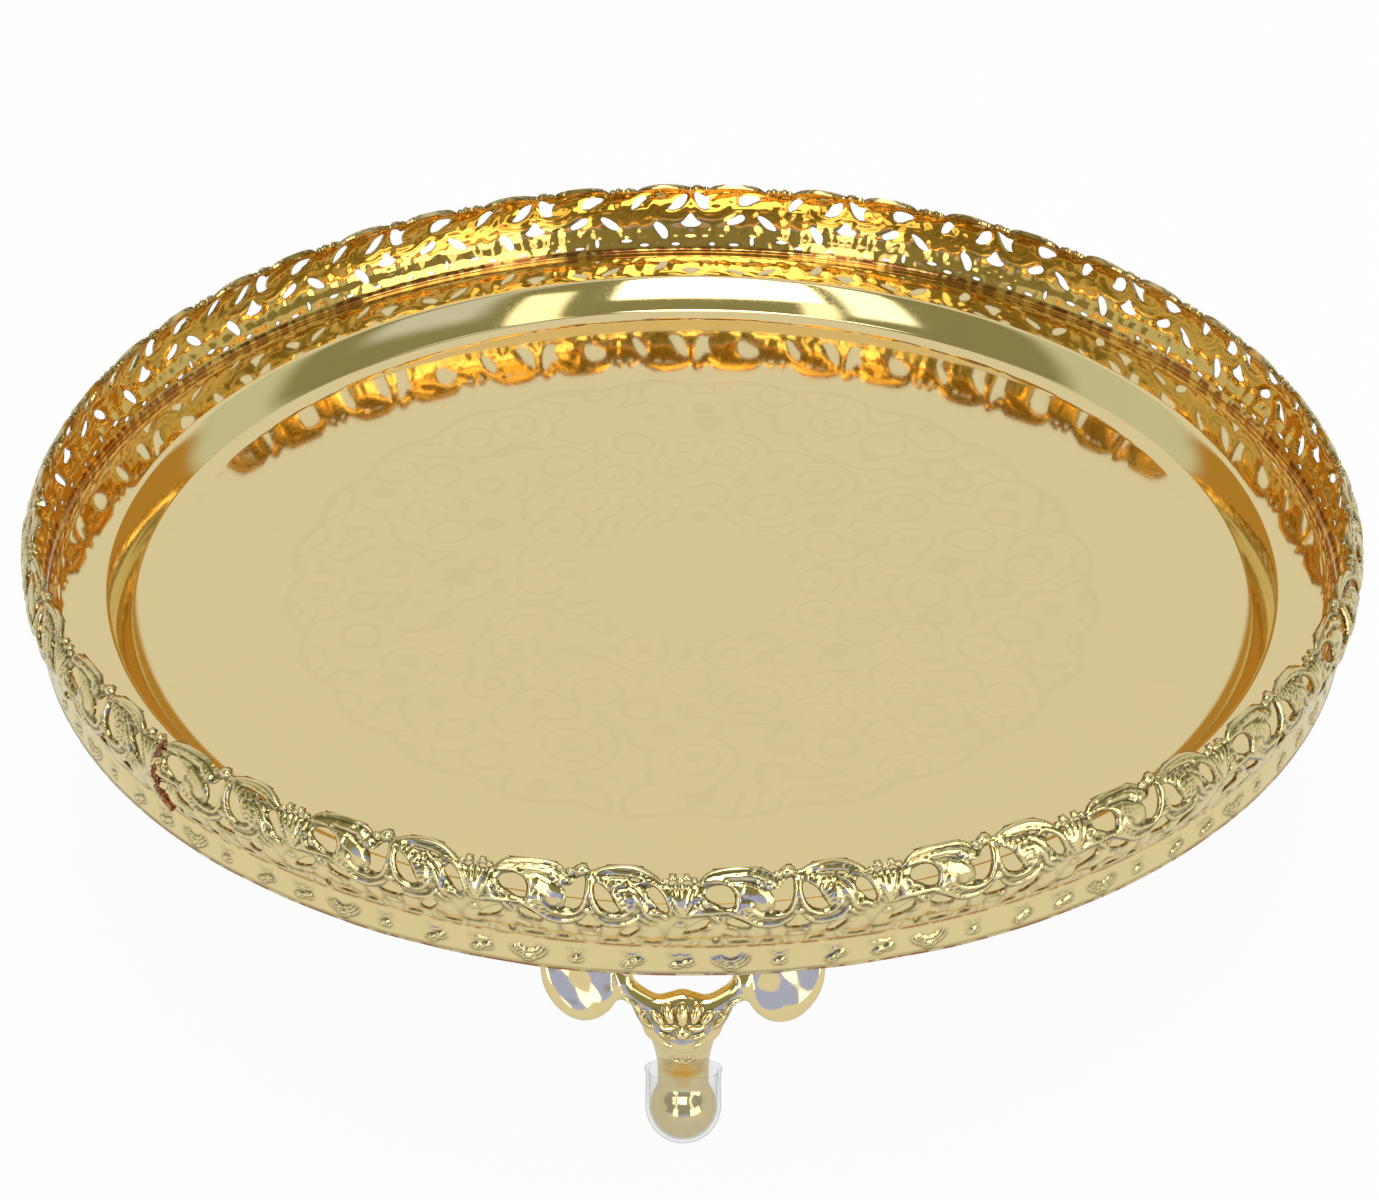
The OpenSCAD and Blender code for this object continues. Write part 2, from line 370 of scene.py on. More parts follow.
def draw_left_leaf(m):
    """The curled leaf between the fan and the first opening."""
    m.stroke([(2.6, 16.6), (3.6, 17.2), (4.9, 16.5), (4.7, 15.3), (5.6, 14.8)], 0.4, 0.8)
    m.volute((3.5, 15.2), 1.1, 1.0, 60, 0.35, 0.75)
    m.stroke([(5.2, 15.6), (6.4, 15.1), (7.4, 14.4)], 0.45, 0.7)
    m.stroke([(0.9, 12.4), (3.6, 13.2), (6.6, 13.4), (10.2, 13.6)], 0.65, 0.75)
    m.stroke([(1.4, 12.9), (3.2, 14), (5.2, 14.2)], 0.4, 0.55)
    m.stroke([(6, 12.6), (7.3, 11.6), (8.2, 10.4)], 0.45, 0.75)
    m.stroke([(7.8, 12.4), (8.7, 11.6), (8.6, 10.6)], 0.3, 0.6)
    m.stroke([(9.6, 13.4), (11, 12.7), (12.4, 11.6)], 0.45, 0.7)
    m.stroke([(3.7, 19.7), (5, 20.1), (8, 20.4), (10.6, 19.5), (11.8, 17.6), (11.7, 14.8)], 0.42, 0.8)


def draw_shell_swirl(m):
    """The ribbed shell that curls over the left bowl, and the strands that flow into it."""
    m.dome((15, 15.6), 4.0, 3.4, 40, 0.34)
    for k in range(4):
        m.stroke([(9 + 0.6 * k, 20.2 - 0.35 * k), (12.4, 19.9 - 0.75 * k), (15.2, 18.9 - 0.85 * k),
                  (17.6 - 0.3 * k, 16.9 - 0.75 * k), (18.6 - 0.5 * k, 14.6 - 0.3 * k)],
                 0.34, 0.62, (0.4, 0.3))
    for radius, start in ((1.5, 150), (2.35, 160), (3.2, 172), (4.0, 186)):
        m.stroke(arc((14.9, 14.9), radius, start, start + 130), 0.34, 0.62, (0.3, 0.3))
    m.volute((13.9, 14.8), 1.0, 1.0, 170, 0.36, 0.8, hand=-1)
    m.fan((12.2, 17), ((11.9, 20), (13.2, 20)), 0.45, 0.7)
    m.volute((16.7, 20.1), 1.15, 1.0, 250, 0.34, 0.85)
    m.volute((19.2, 19.5), 1.2, 1.0, 300, 0.36, 0.85, hand=-1)
    m.stroke([(17.6, 18.7), (20, 18.6), (21.5, 20)], 0.4, 0.7)
    for s, t in ((11.9, 13.4), (12.6, 12.5), (13.7, 11.8)):
        m.stroke([(s, t), (s + 0.9, t + 0.9), (s + 1.9, t + 1.1)], 0.3, 0.6)


def draw_bowls(m):
    """The paired C scrolls and the double stem between them."""
    m.dome((18.8, 11.3), 3.6, 1.6, 0, 0.3)
    m.stroke([(13.8, 15), (15.2, 13), (17.4, 11.9), (20, 11.6), (22.2, 12.5), (23.5, 14.6),
              (24.05, 17.4), (24, 20.6)], 0.5, 0.95, (0.5, 0.8))
    m.stroke([(11.3, 14.2), (12.8, 12), (15, 10.2), (18, 9.2), (20.6, 9.5), (22.8, 10.8)], 0.55, 0.9)
    m.stroke([(24.9, 20.6), (25, 17.5), (25.6, 14.8), (27.2, 12.6), (29.6, 11.7), (32, 12.2),
              (33.5, 13.6)], 0.5, 0.95, (0.8, 0.4))
    m.dome((30.4, 10.8), 3.6, 1.4, 8, 0.3)
    m.stroke([(26, 11.2), (27.4, 9.7), (29.6, 9.2), (32.4, 9.8), (34.4, 11), (35.4, 12.3)], 0.5, 0.85)
    m.stroke([(24.45, 20.4), (24.45, 17), (24.5, 14)], 0.3, 0.5, (0.8, 0.4))
    m.dome((24.6, 12.9), 1.5, 1.0, 0, 0.6)
    m.stroke([(24.6, 13.6), (24.6, 12)], 0.3, 0.2, add=True)


def draw_acanthus(m):
    """The feathered leaf that sweeps down from the right scroll."""
    m.dome((33, 15.6), 2.9, 3.3, 20, 0.3)
    m.leaf([(26.4, 20.4), (28.6, 19.7), (30.6, 18.1), (31.8, 15.9), (32.2, 13.4)], 1.75, 8, 0.4, 0.72)
    m.feathers((33.6, 14.2), (1.0, 1.8, 2.6, 3.4), 20, 150, 0.34, 0.36)
    m.volute((33.4, 14.2), 1.0, 1.0, 120, 0.34, 0.8)
    for k in range(3):
        m.stroke([(28.4 + 1.6 * k, 21.1), (30 + 1.5 * k, 20.4), (31 + 1.4 * k, 19)], 0.36, 0.66)
    m.stroke([(32.6, 19), (34.6, 17.2), (36, 14.8), (36.8, 12.6), (38.6, 11)], 0.6, 0.75, (0.3, 0.25))
    m.stroke([(33.8, 19.6), (36, 17.8), (36.9, 15.6)], 0.5, 0.7)
    m.stroke([(33.7, 19.5), (36, 20.3), (38.6, 19.8), (40.5, 17.6), (41.7, 14.6), (41.8, 12.6)],
             0.42, 0.85)
    m.dome((38.2, 13.3), 1.1, 0.7, 10, 0.75)
    m.stroke([(38.6, 12.6), (39.8, 12.9), (41, 11.5)], 0.5, 0.75)
    m.stroke([(35, 12.4), (36.4, 11), (38.3, 9.8)], 0.4, 0.6)


def draw_lower_band(m):
    """Low smooth hills with small marks, between the openings and the crease."""
    for s, t, long, wide, tilt in ((7.2, 6.9, 4.6, 2.6, 70), (15.9, 6.2, 4.6, 2.6, 95),
                                   (20.4, 5.9, 4.2, 2.2, 100), (28.8, 6.0, 4.8, 2.5, 80),
                                   (37.6, 5.6, 4.8, 3.0, 95), (43.2, 6.2, 4.4, 2.6, 80)):
        m.hill((s, t), long, wide, tilt, 0.5)
    for s, t, tilt in ((10.2, 6.9, -35), (4.6, 8.9, 20), (24.6, 4.9, 0), (33.4, 9.3, 40)):
        m.hill((s, t), 2.6, 1.2, tilt, 0.55)
    for s, t in ((0, 9.9), (13.2, 11.6), (11.2, 5.6), (21.6, 4.6), (26.4, 6.4), (36.3, 8.4),
                 (43.4, 9.9)):
        m.bead((s, t), 0.5, 0.6)
    for s, lean in ((2.4, 0.4), (9.8, -0.5), (15.6, 0.6), (22.4, -0.3), (26.6, 0.5), (34.6, -0.6),
                    (40.2, 0.4)):
        m.stroke([(s, 0.6), (s + lean, 2.2), (s + 2.4 * lean, 3.6)], 0.45, 0.25)


def draw_skirt(m):
    """Smile-shaped ripples and drops on the plain band below the crease."""
    for scale in (1.0, 0.8, 0.6):
        turn = np.radians(np.linspace(-68, 68, 9))
        m.stroke(np.stack([10.5 + 4.5 * scale * np.sin(turn), -1.5 - 4.1 * scale * np.cos(turn)], 1),
                 0.34, 0.34, (0.3, 0.3))
    for s, t in ((43, -4.7), (21.1, -4.3), (32.5, -4.9), (34.3, -3.9), (54.6, -5.4), (1.2, -4.1)):
        m.dome((s, t), 1.05, 0.55, 20, 0.42)
        m.stroke(arc((s, t + 0.7), 1.7, 205, 335), 0.26, 0.3)
    for s in (0.5, 21.1, 33, 42.6):
        m.stroke(arc((s, -0.6), 2.2, 200, 340), 0.2, 0.14)
    m.stroke([(-1, -7.6), (PERIOD + 1, -7.6)], 0.4, 0.16, (1, 1))


# the openings of one motif, as seen from outside
OPENINGS = (
    ((4.9, 17.8), (5.7, 19.1), (8, 19.7), (10, 19.1), (11, 17.4), (11.1, 15.4), (10.6, 14.2),
     (8.9, 14.2), (7.2, 15.3), (5.5, 16.4)),
    ((18.7, 18.4), (20.8, 19.3), (22.4, 20.5), (23.5, 20.4), (23.4, 16.5), (22.4, 13.4),
     (20.5, 12.3), (19, 12.6), (19.6, 14.2), (19.4, 16.4)),
    ((25.7, 19.4), (25.8, 16), (27.3, 13.3), (29.6, 12.3), (31, 13.1), (29.9, 15), (28.9, 17.2),
     (27.6, 18.6)),
    ((36.9, 17.4), (37.4, 18.9), (38.3, 19.2), (39.8, 17.8), (40.9, 15.4), (41.3, 13.4),
     (40.3, 12.7), (39.2, 14), (38.2, 15.5)),
    ((0.4, 6.6), (1.5, 8.7), (3.6, 10.5), (5.4, 11.2), (5.8, 10.2), (4.6, 8.3), (2.6, 6.8)),
    ((9.3, 10.2), (10.4, 11.4), (12.6, 10.2), (14.4, 8.8), (14, 7.7), (12.2, 7.9), (10.2, 8.8)),
    ((21.6, 8.2), (22.9, 9.3), (24.6, 11.6), (26.4, 9.3), (27.4, 8.2), (25.9, 7.1), (23, 7.1)),
    ((31.2, 3.8), (31.2, 6), (32.6, 8), (34.4, 8.8), (35, 7.4), (33.8, 5.2), (32.6, 3.6)),
)
SLITS = ((-1.3, 3.2, 1.7, 0.45), (7.2, 3.0, 0.6, 1.3), (12.3, 1.9, 1.5, 0.42), (18.5, 2.0, 0.9, 0.5),
         (28.9, 2.0, 1.3, 0.45), (37.8, 1.9, 1.4, 0.45))


def opening_distance(s, t):
    """Distance to the nearest opening of the motif, positive in the metal."""
    metal = np.full(s.shape, 9.0)
    for shift in (-PERIOD, 0, PERIOD):
        for outline in OPENINGS:
            metal = np.minimum(metal, outline_distance(closed_curve(outline) + (shift, 0), s, t))
        for cs, ct, half_s, half_t in SLITS:
            size = np.hypot((s - cs - shift) / half_s, (t - ct) / half_t)
            metal = np.minimum(metal, (size - 1) * min(half_s, half_t))
    return metal


def crest_body(s):
    """Height of the plain strip under the crest's scrolls and beads."""
    return 20.5 - 0.8 * np.cos(2 * np.pi * s / PERIOD)


# ================= the gallery strip =================
# the belly is an arc from the crease to the crest, the same as the CAD strip's outer face
STRIP_RISE = 21.1
BELLY_BULGE = BELLY_R - CREASE_R
ARC_R = (STRIP_RISE**2 / 4 + BELLY_BULGE**2) / (2 * BELLY_BULGE)
ARC_HALF = math.asin(STRIP_RISE / 2 / ARC_R)
RELIEF = 0.98  # tallest relief, kept inside the CAD strip's outer face
SKIRT_DROP = 7.25
SKIRT_LENGTH = 8.0


def smoothstep(x):
    x = np.clip(x, 0, 1)
    return x * x * (3 - 2 * x)


def strip_base(t):
    """Radius and height of the strip's ground, t millimetres up from the crease."""
    angle = t / ARC_R - ARC_HALF
    r = BELLY_R - ARC_R + (ARC_R - RELIEF * smoothstep(t / 4)) * np.cos(angle)
    z = STRIP_RISE / 2 + (ARC_R - RELIEF * smoothstep(t / 4)) * np.sin(angle)
    u = np.clip(-t / SKIRT_LENGTH, 0, 1)
    skirt_r = CREASE_R + 0.8 * u + 0.15 * np.sin(np.pi * u) - 0.1 * smoothstep(-t / 2)
    return np.where(t >= 0, r, skirt_r), DECK_Z + np.where(t >= 0, z, -SKIRT_DROP * u)


def strip_normal(t):
    """Outward direction of the ground, rounded over the crease."""
    step = 0.7
    r1, z1 = strip_base(t + step)
    r0, z0 = strip_base(t - step)
    size = np.hypot(r1 - r0, z1 - z0)
    return (z1 - z0) / size, -(r1 - r0) / size


def hem_wander(angle, t):
    """How far the hand-finished skirt strays from level, most at its hem."""
    waves = 0.16 * np.sin(9 * angle + 0.4) + 0.12 * np.sin(22 * angle + 2) + 0.08 * np.sin(47 * angle)
    return waves * smoothstep(-t / SKIRT_LENGTH)


def on_ring(s, r, z):
    """Points at s along the ring, which starts at the front foot and runs to the right."""
    turn = s / PERIOD * 2 * np.pi / REPEATS
    return np.stack([r * np.sin(turn), -r * np.cos(turn), z], -1)


def blur(field, rounds):
    """Neighbour averaging that wraps round the ring."""
    for _ in range(rounds):
        field = (2 * field + np.roll(field, 1, 1) + np.roll(field, -1, 1)) / 4
        padded = np.pad(field, ((1, 1), (0, 0)), mode="edge")
        field = (2 * field + padded[2:] + padded[:-2]) / 4
    return field


def gallery_strip(material):
    """The pierced, embossed belly and the skirt, as one closed plate bent into a ring."""
    cols = 112  # grid columns in one motif
    step_s = PERIOD / cols
    step_t = 0.4
    s_line = np.arange(cols) * step_s
    t_line = np.arange(-SKIRT_LENGTH, 24.5, step_t)
    m = Relief(s_line, t_line, PERIOD)
    for draw in (draw_lower_band, draw_shell_swirl, draw_acanthus, draw_bowls, draw_left_leaf,
                 draw_fan, draw_crest, draw_skirt):
        draw(m)
    ground = np.minimum(opening_distance(m.s, m.t), crest_body(m.s) - m.t)
    metal = np.maximum(ground, m.solid - 0.02)
    metal = np.where(m.t < -1, 1.0, metal)
    drawn = np.minimum(m.height, RELIEF)
    softening = 0.78  # pressed metal is a little less crisp than the drawn ridges
    height = drawn + softening * smoothstep(m.t) * (blur(drawn, 1) - drawn)
    soft = blur(height, 4)
    grime_and_shade_depth = 0.07  # metal this far below its surroundings is darkened in full: grime, and painted shade of the recess
    hollow_grime_and_shade = np.clip((blur(height, 2) - height) / grime_and_shade_depth, 0, 1)
    # painted shade along the openings' edges on the belly, darkening the metal next to each hole
    hollow_grime_and_shade = np.maximum(hollow_grime_and_shade, np.clip(1.25 - metal / 0.3, 0, 1) * (m.t > 0.5))
    rim = 0.3 * np.clip(1 - metal / 0.5, 0, 1) ** 2
    fields = [np.tile(f, (1, REPEATS)) for f in (metal, height - rim, soft, hollow_grime_and_shade)]
    metal, height, soft, hollow_grime_and_shade = fields
    s, t = np.meshgrid(np.arange(cols * REPEATS) * step_s, t_line)
    s, t, metal = snap_to_border(s, t, metal, step_s, step_t)

    def place(sample, lift):
        # the last column's neighbour is the first one, so cut points there are placed by angle
        up = sample(t)
        r, z = strip_base(up)
        nr, nz = strip_normal(up)
        rise = sample(lift)
        angle = s / PERIOD * 2 * np.pi / REPEATS
        c, q = sample(np.cos(angle)), sample(np.sin(angle))
        size = np.hypot(c, q)
        wander = hem_wander(np.arctan2(q, c), up)
        out = r + rise * nr + 0.5 * wander
        return np.stack([out * q / size, -out * c / size, z + rise * nz + wander], -1)

    inner = 0.7 * soft - STRIP_T + 0.1
    vertices, faces, count, sample = plate(
        metal, lambda f: place(f, height), lambda f: place(f, inner))
    piece = make_object("gallery_strip", vertices, faces, material, "stand",
                        replaces=["gallery"])
    deep = sample(hollow_grime_and_shade)
    # grime and painted shade of the recesses, half as strong on the back sheet
    point_attribute(piece, "hollow_grime_and_shade", np.concatenate([deep, 0.5 * deep]))
    # the back sheet is marked for a deeper orange gold: a painted reflection of gold mirrored in gold
    point_attribute(piece, "inside", np.concatenate([np.zeros(count), np.ones(count)]))
    up = sample(t)
    # red-brown stain in blotches at the outer crease, the hem and the inner crease; at the creases the
    # darkening is also painted shade of the fold
    crease = np.clip(1.3 - np.abs(up - 0.1) / 0.45, 0, 1)
    hem = np.clip((-SKIRT_LENGTH + 0.75 - up) / 0.3, 0, 1)
    inner_crease_stain_and_shade = np.clip(1.4 - np.abs(up - 0.5) / 0.8, 0, 1)
    point_attribute(piece, "stain", np.concatenate([np.maximum(crease, hem), inner_crease_stain_and_shade]))
    sharp_borders(piece, count)


def sharp_borders(piece, count):
    """Marks the edges between the sheets and their walls as sharp."""
    mesh = piece.data
    edges = np.empty(len(mesh.edges) * 2, dtype=np.int32)
    mesh.edges.foreach_get("vertices", edges)
    edges = edges.reshape(-1, 2)
    joins = (edges[:, 0] < count) != (edges[:, 1] < count)
    on_wall = np.zeros(len(mesh.vertices), dtype=bool)
    on_wall[edges[joins].ravel()] = True
    rim = on_wall[edges].all(1) & ~joins
    layer = mesh.attributes.new("sharp_edge", "BOOLEAN", "EDGE")
    layer.data.foreach_set("value", rim)


# ================= the tray =================
def tray_profile():
    """Etched floor that lifts a little near its edge, cove, wall, tight roll, flange, underside."""
    flange_in, roll_r = 143.4, 1.8
    foot, head = math.radians(60.0), math.radians(46.0)  # the wall's slope at its foot and its head
    cove = [(150.0, 0.0, 2.2), (11.0, 2.2, 24.0), (1.2, 24.0, 60.0)]  # radius, from slope, to slope
    cove = [(r, math.radians(low), math.radians(high)) for r, low, high in cove]
    cove_rise = sum(r * (math.cos(low) - math.cos(high)) for r, low, high in cove)
    cove_run = sum(r * (math.sin(high) - math.sin(low)) for r, low, high in cove)
    wall_rise = DECK_Z - FLOOR_Z - cove_rise - roll_r * (1 - math.cos(head))
    wall_r = wall_rise / (math.cos(head) - math.cos(foot))
    wall_run = wall_r * (math.sin(foot) - math.sin(head))
    floor_r = flange_in - roll_r * math.sin(head) - wall_run - cove_run
    top = [(floor_r * k / 12, FLOOR_Z) for k in range(13)]
    for r, low, high in cove:
        a = np.linspace(low, high, 13)[1:, None]
        top = np.vstack([top, top[-1] + r * np.hstack([np.sin(a) - np.sin(low),
                                                       np.cos(low) - np.cos(a)])])
    a = np.linspace(foot, head, 11)[1:, None]
    top = np.vstack([top, top[-1] + wall_r * np.hstack([np.sin(foot) - np.sin(a),
                                                        np.cos(a) - np.cos(foot)])])
    roll = arc((flange_in, DECK_Z - roll_r), roll_r, 90 + math.degrees(head), 90, 8)[1:]
    flat = [(flange_in + (FLANGE_R - 0.2 - flange_in) * k / 4, DECK_Z) for k in range(1, 5)]
    top = np.vstack([top, roll, flat, [(FLANGE_R, DECK_Z - 0.2)]])
    slope = np.gradient(top, axis=0)
    normal = np.stack([-slope[:, 1], slope[:, 0]], 1) / np.hypot(*slope.T)[:, None]
    under = top[1:-1] - SHEET_T * normal[1:-1]
    under[:, 0] = np.minimum(under[:, 0], FLANGE_R - 0.1)
    return top, under[::-1]


def tray_dish(material):
    """The pressed dish, turned in one piece and closed by a disc at the middle of each side."""
    top, under = tray_profile()
    segments = 288
    profile = np.vstack([top[1:], [(FLANGE_R, DECK_Z - SHEET_T)], under])
    vertices, quads = lathe(profile, segments, closed=False)
    n = len(vertices)
    vertices = np.vstack([vertices, [(0, 0, FLOOR_Z), (0, 0, FLOOR_Z - SHEET_T)]])
    ring = np.arange(segments)
    nxt = (ring + 1) % segments
    last = (len(profile) - 1) * segments
    caps = np.vstack([np.stack([np.full(segments, n), ring, nxt], 1),
                      np.stack([np.full(segments, n + 1), last + nxt, last + ring], 1)])
    quads = quads[:, ::-1]
    make_object("tray_dish", vertices, [quads, caps], material, "stand",
                replaces=["tray"])


# ================= cast feet: an implicit solid, meshed by a surface net =================
WING_R = 149.0
TOE_R = 145.0
BALL_R = 7.3
BALL_Z = 8.5
FOOT_TURNS = {"front": 0, "rear_right": 120, "rear_left": 240}
WING_OUTLINE = ((10.4, 61.4), (10.3, 57), (10.5, 52.5), (11.6, 49.4), (13.3, 47.2), (14.3, 44.8),
                (15.8, 42.6), (18.2, 40.7), (21.2, 39.9), (24.4, 40.5), (27.2, 42.4), (29.2, 45),
                (30.3, 48), (30.7, 52), (31, 56.5), (31.2, 61.4))
BRIDGE_TOP = ((14.8, 51.6), (11.4, 50.6), (9.8, 48.8), (7.5, 47.3), (5.3, 46.4), (3, 46.8))
BRIDGE_LOW = ((7, 37), (8.7, 39.8), (10.1, 42.2), (11, 44.2), (12.6, 45.2), (14.8, 46))
WING_LEAN = 0.3  # the wings come forward this much per millimetre towards their lower edge
WING_TOP_Z = 61.4
CAST_HALF_T = 0.3  # half the casting's thickness at a wing's or the bridge's edge
LEG_TOP_Z = 44
LEG_LOW_Z = 9
ANKLE_HALF_WIDE = 5.6
LEG_WIDENING = 2.8
LEG_HALF_DEEP = 3.4
BALL_BLEND = 1.6  # the ball has to stay clear of its cup, so this can't be much wider


def bridge_outline():
    """The bridge between the wings, the same on both sides of the leg."""
    def mirrored(points):
        return [(-x, z) for x, z in reversed(points)]

    return [*BRIDGE_TOP, (0, 47.6), *mirrored(BRIDGE_TOP), *mirrored(BRIDGE_LOW), (0, 34), *BRIDGE_LOW]


def smooth_min(a, b, blend):
    """The lower of two fields, rounded over where they are closer than blend."""
    h = np.clip(0.5 + 0.5 * (b - a) / blend, 0, 1)
    return b + (a - b) * h - blend * h * (1 - h)


class FlatMap:
    """A field worked out once on a flat grid of x and z, and looked up by interpolation."""

    def __init__(self, x_range, z_range, step, work_out):
        self.x0, self.z0, self.step = x_range[0], z_range[0], step
        self.x = np.arange(x_range[0], x_range[1] + step, step)
        self.z = np.arange(z_range[0], z_range[1] + step, step)
        self.field = work_out(self.x, self.z)

    def __call__(self, x, z):
        rows, cols = self.field.shape
        u = np.clip((x - self.x0) / self.step, 0, cols - 1.001)
        v = np.clip((z - self.z0) / self.step, 0, rows - 1.001)
        i, j = v.astype(int), u.astype(int)
        u, v = u - j, v - i
        low = self.field[i, j] * (1 - u) + self.field[i, j + 1] * u
        high = self.field[i + 1, j] * (1 - u) + self.field[i + 1, j + 1] * u
        return low * (1 - v) + high * v


def draw_palmette(m):
    """The lotus on the leg: petals, side scrolls, dots and a small leaf near the ankle."""
    m.dome((0, 43.3), 2.6, 1.3, 90, 1.25)
    m.dome((0, 39.3), 1.6, 1.3, 0, 1.05)
    m.stroke([(0, 42), (0, 44.6)], 0.3, 0.3, add=True)
    strokes = (([(1.3, 40.7), (3.2, 40.3), (5.0, 40.9)], 0.65, 0.95),
               ([(6.6, 40.6), (8.2, 41.8), (8.9, 43), (7.9, 43.8)], 0.65, 0.9),
               ([(9.2, 43.4), (10.4, 45.2), (12.4, 46.4)], 0.55, 0.7),
               ([(1.9, 38.2), (3.4, 38.4), (4.7, 39.2)], 0.45, 0.6),
               ([(2.4, 36.2), (3.9, 36.6)], 0.36, 0.45),
               ([(1.9, 33.6), (3.1, 33.8)], 0.34, 0.35),
               ([(0, 26.6), (1.1, 27.6), (2.4, 28.7)], 0.55, 0.55),
               ([(0.9, 29.2), (2.1, 29.6)], 0.35, 0.35))
    for side in (-1, 1):
        m.dome((side * 2.9, 43.4), 2.3, 1.1, 90 - side * 16, 1.15)
        m.dome((side * 5.3, 42.6), 1.9, 0.95, 90 - side * 45, 1.0)
        for points, width, height in strokes:
            m.stroke([(side * x, z) for x, z in points], width, height)
    m.bead((0, 32.4), 0.4, 0.4)
    m.bead((0, 27.9), 0.6, 0.55)


def foot_field():
    """The foot's signed field in x, distance from the tray's centre line, and height."""
    def outline_map(outline, x_range):
        def work_out(x, z):
            return outline_distance(closed_curve(outline), *np.meshgrid(x, z))
        return FlatMap(x_range, (30, 64), 0.25, work_out)

    def relief(x, z):
        m = Relief(x, z, None)
        draw_palmette(m)
        return blur_flat(m.height)

    wing = outline_map(WING_OUTLINE, (0, 36))
    bridge = outline_map(bridge_outline(), (-18, 18))
    palmette = FlatMap((-15, 15), (17, 50), 0.15, relief)

    def pillow(distance, round_over):
        reach = np.clip(-distance / round_over, 0, 1)
        return np.where(distance < 0, np.sqrt(1 - (1 - reach) ** 2), 0)

    def cast_sheet(rho, front_swell, swell):
        front = rho - CAST_HALF_T - front_swell * swell
        return np.where(rho > 0, front, -rho - CAST_HALF_T - 0.9 * swell)

    def field(x, q, z):
        rho = np.hypot(x, q) - WING_R - WING_LEAN * (WING_TOP_Z - z)
        d_wing = wing(np.abs(x), z)
        swell = pillow(d_wing, 1.5 + 3.0 * (1 - smoothstep((z - 40) / 12)))
        wave = np.sin(0.62 * x + 0.38 * z + 1.0) + 0.6 * np.sin(0.31 * x - 0.6 * z + 2.2)
        wings = np.maximum(cast_sheet(rho, 1.3 + 0.16 * wave, swell), d_wing)
        d_bridge = bridge(x, z)
        swell = pillow(d_bridge, 2.6)
        bar = np.maximum(cast_sheet(rho, 1.7, swell), d_bridge)
        rise = np.clip((z - 20) / 20, 0, 1.3)
        half_wide = ANKLE_HALF_WIDE + LEG_WIDENING * rise**2
        half_deep = np.maximum(LEG_HALF_DEEP * np.sqrt(np.clip((47.5 - z) / 9, 0, 1)), 0.7)
        middle = TOE_R + 7.8 * smoothstep((z - 14) / 24) - 0.15 * np.clip(z - 37, 0, 12)
        leg = (np.hypot(x / half_wide, (q - middle) / half_deep) - 1) * half_deep
        leg = np.maximum(leg, np.maximum(z - LEG_TOP_Z, LEG_LOW_Z - z))
        ball = np.sqrt(x**2 + (q - TOE_R) ** 2 + (z - BALL_Z) ** 2) - BALL_R
        solid = smooth_min(smooth_min(leg, ball, BALL_BLEND), smooth_min(wings, bar, 1.2), 2.2)
        front = smoothstep((q - middle + 1) / 2.5)
        return 0.85 * (solid - palmette(x, z) * front * (z > 17) * (np.abs(x) < 14.5))

    return field, palmette


def blur_flat(height):
    """A light softening of a relief that doesn't wrap."""
    padded = np.pad(height, 1, mode="edge")
    left, right = padded[1:-1, :-2], padded[1:-1, 2:]
    below, above = padded[:-2, 1:-1], padded[2:, 1:-1]
    return (4 * height + right + left + above + below) / 8


def surface_net(field, low, high, step):
    """Vertices and quads of the surface where field is zero, pulled onto it exactly."""
    axes = [np.arange(a, b + step, step) for a, b in zip(low, high)]
    shape = tuple(len(a) for a in axes)
    value = np.empty(shape)
    for k, x in enumerate(axes[0]):
        q, z = np.meshgrid(axes[1], axes[2], indexing="ij")
        value[k] = field(np.full(q.shape, x), q, z)
    index = np.arange(value.size).reshape(shape)
    strides = (shape[1] * shape[2], shape[2], 1)
    total = np.zeros((value.size, 3))
    count = np.zeros(value.size)
    quads = []
    for axis in range(3):
        lower = [slice(None)] * 3
        upper = [slice(None)] * 3
        lower[axis], upper[axis] = slice(0, -1), slice(1, None)
        a, b = value[tuple(lower)], value[tuple(upper)]
        crossing = (a < 0) != (b < 0)
        start = index[tuple(lower)][crossing]
        share = (a / np.where(a == b, 1, a - b))[crossing]
        place = np.stack(np.unravel_index(start, shape), 1).astype(float)
        place[:, axis] += share
        u, v = strides[(axis + 1) % 3], strides[(axis + 2) % 3]
        cells = np.stack([start - u - v, start - v, start, start - u], 1)
        for k in range(4):
            for c in range(3):
                total[:, c] += np.bincount(cells[:, k], place[:, c], value.size)
            count += np.bincount(cells[:, k], minlength=value.size)
        inward = (a < 0)[crossing]
        quads.append(np.where(inward[:, None], cells, cells[:, ::-1]))
    quads = np.vstack(quads)
    used = np.unique(quads)
    renumber = np.zeros(value.size, dtype=np.int64)
    renumber[used] = np.arange(len(used))
    points = total[used] / count[used, None] * step + np.array([a[0] for a in axes])
    for _ in range(3):
        slope = field_slope(field, points)
        size = np.maximum((slope**2).sum(1), 0.1)
        points -= np.clip(field(*points.T) / size, -0.3 * step, 0.3 * step)[:, None] * slope
    slope = field_slope(field, points)
    return points, renumber[quads], slope / np.linalg.norm(slope, axis=1)[:, None]


def field_slope(field, points, reach=0.12):
    x, q, z = points.T
    return np.stack([field(x + reach, q, z) - field(x - reach, q, z),
                     field(x, q + reach, z) - field(x, q - reach, z),
                     field(x, q, z + reach) - field(x, q, z - reach)], 1) / (2 * reach)


def turned(points, degrees):
    """Points in x, outward distance and height, set out from the front and turned round Z."""
    a = math.radians(degrees)
    x, y = points[:, 0], -points[:, 1]
    return np.stack([x * math.cos(a) - y * math.sin(a), x * math.sin(a) + y * math.cos(a),
                     points[:, 2]], 1)


